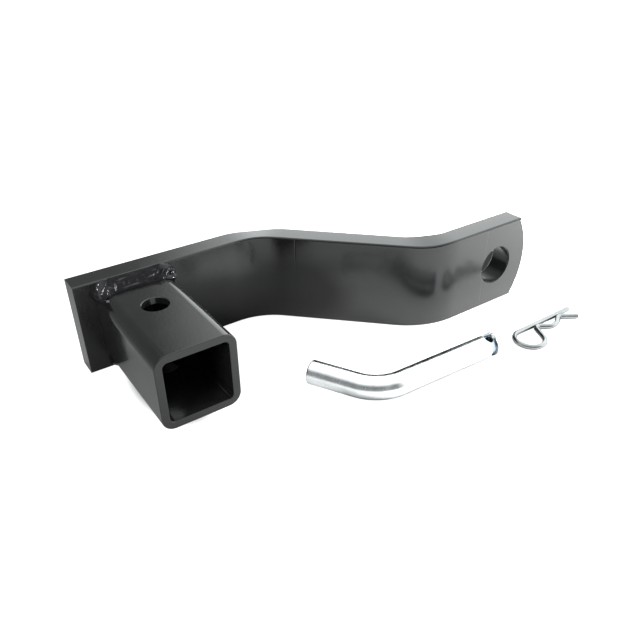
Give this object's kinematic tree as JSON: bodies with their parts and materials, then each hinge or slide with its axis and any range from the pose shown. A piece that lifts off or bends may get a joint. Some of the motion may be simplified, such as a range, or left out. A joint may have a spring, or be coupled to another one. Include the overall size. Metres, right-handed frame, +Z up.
{
  "type": "offset receiver drawbar",
  "caption": "Offset flat steel drawbar with a welded square receiver tube, a round end hole, a loose bent hitch pin and a loose spring R-clip.",
  "frame": {"origin": "on the drawbar's lower edge, midway through its thickness, under the centre line of the receiver tube", "axes": "+X along the bar's first straight length towards the end hole, -Y out of the receiver tube's mouth, +Z up across the bar's height"},
  "size_m": [0.2528, 0.134, 0.0508],
  "materials": {
    "black_paint": "satin black paint over rolled steel",
    "painted_weld": "gloss black paint over a rippled weld",
    "zinc_plate": "bright zinc plate",
    "zinc_wire": "bright zinc plated spring wire"
  },
  "bodies": {
    "hitch": {"drawbar": "black_paint", "receiver_tube": "black_paint", "weld_bead_top": "painted_weld", "weld_bead_bottom": "painted_weld"},
    "pin": {"hitch_pin": "zinc_plate"},
    "clip": {"r_clip": "zinc_wire"}
  },
  "joints": [
    {"name": "pin_turn", "type": "hinge", "parent": "hitch", "child": "pin", "pos_m": [0.0774, -0.1108, 0.00635], "axis": [0.9993, -0.0384, 0], "range_deg": [0, 180]},
    {"name": "clip_along_leg", "type": "slide", "parent": "hitch", "child": "clip", "axis": [1, 0, 0], "range_m": [0, 0.044]}
  ]
}
